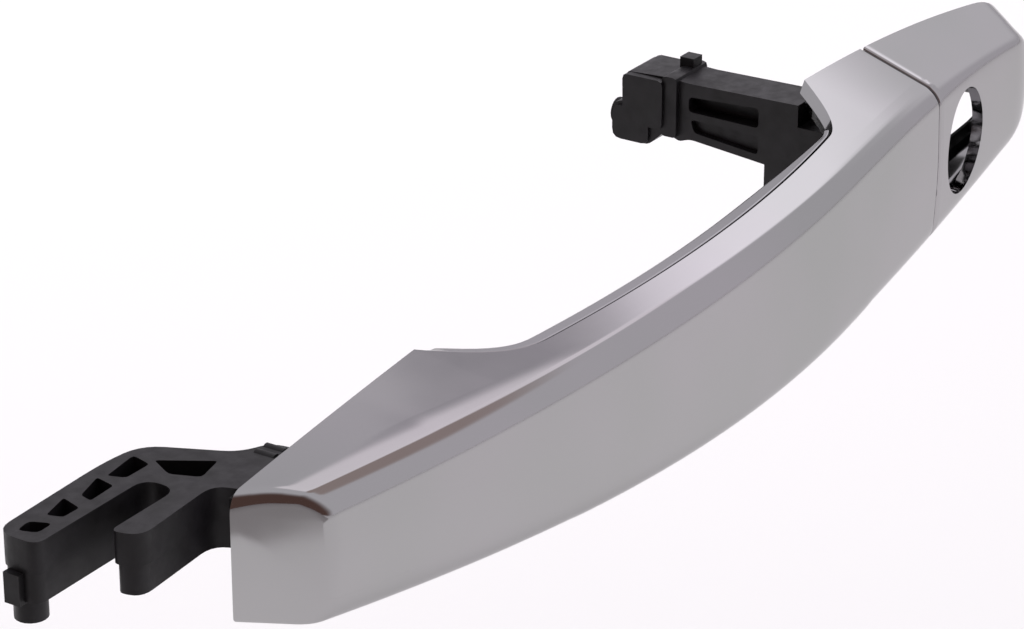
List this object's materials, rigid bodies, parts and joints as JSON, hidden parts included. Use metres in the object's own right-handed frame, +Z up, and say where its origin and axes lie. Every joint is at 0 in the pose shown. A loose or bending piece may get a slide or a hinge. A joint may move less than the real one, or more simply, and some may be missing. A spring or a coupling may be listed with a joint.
{
  "type": "car door handle",
  "caption": "Chromed outside pull handle of a car door: a bowed strap that pivots on its front hook, and a fixed cap with the round lock hole.",
  "frame": {"origin": "on the door plane, on the front rail of the cap's gasket, at the parting gap between strap and cap", "axes": "+X along the handle towards the cap, +Y into the door, +Z up"},
  "size_m": [0.2749, 0.0657, 0.0365],
  "materials": {
    "chrome_outer": "bright chrome plating on moulded plastic",
    "chrome_inner": "bright chrome plating, a little duller on the finger side",
    "black_nylon": "glass-filled nylon, as moulded, fine grain",
    "bumper_rubber": "matt rubber",
    "seal_rubber": "matt closed-cell seal rubber",
    "screw_steel": "zinc plated",
    "insert_brass": "turned brass"
  },
  "bodies": {
    "cap": {"cap_shell": "chrome_outer", "cap_bracket": "black_nylon", "cap_gasket": "seal_rubber", "cap_screw_1": "screw_steel", "cap_screw_2": "screw_steel", "cap_insert": "insert_brass"},
    "strap": {"strap_shell": "chrome_outer", "grip_liner": "chrome_inner", "grip_beam": "black_nylon", "hook_arm": "black_nylon", "rear_leg": "black_nylon", "leg_bumper": "bumper_rubber", "strap_front_gasket": "seal_rubber", "strap_rear_gasket": "seal_rubber", "strap_front_screw": "screw_steel", "strap_rear_screw": "screw_steel", "beam_screw_1": "screw_steel", "beam_screw_2": "screw_steel"}
  },
  "joints": [
    {"name": "handle_pivot", "type": "hinge", "parent": "cap", "child": "strap", "pos_m": [-0.1954, 0.0099, 0.0015], "axis": [0, 0, -1], "range_deg": [0, 12]}
  ]
}
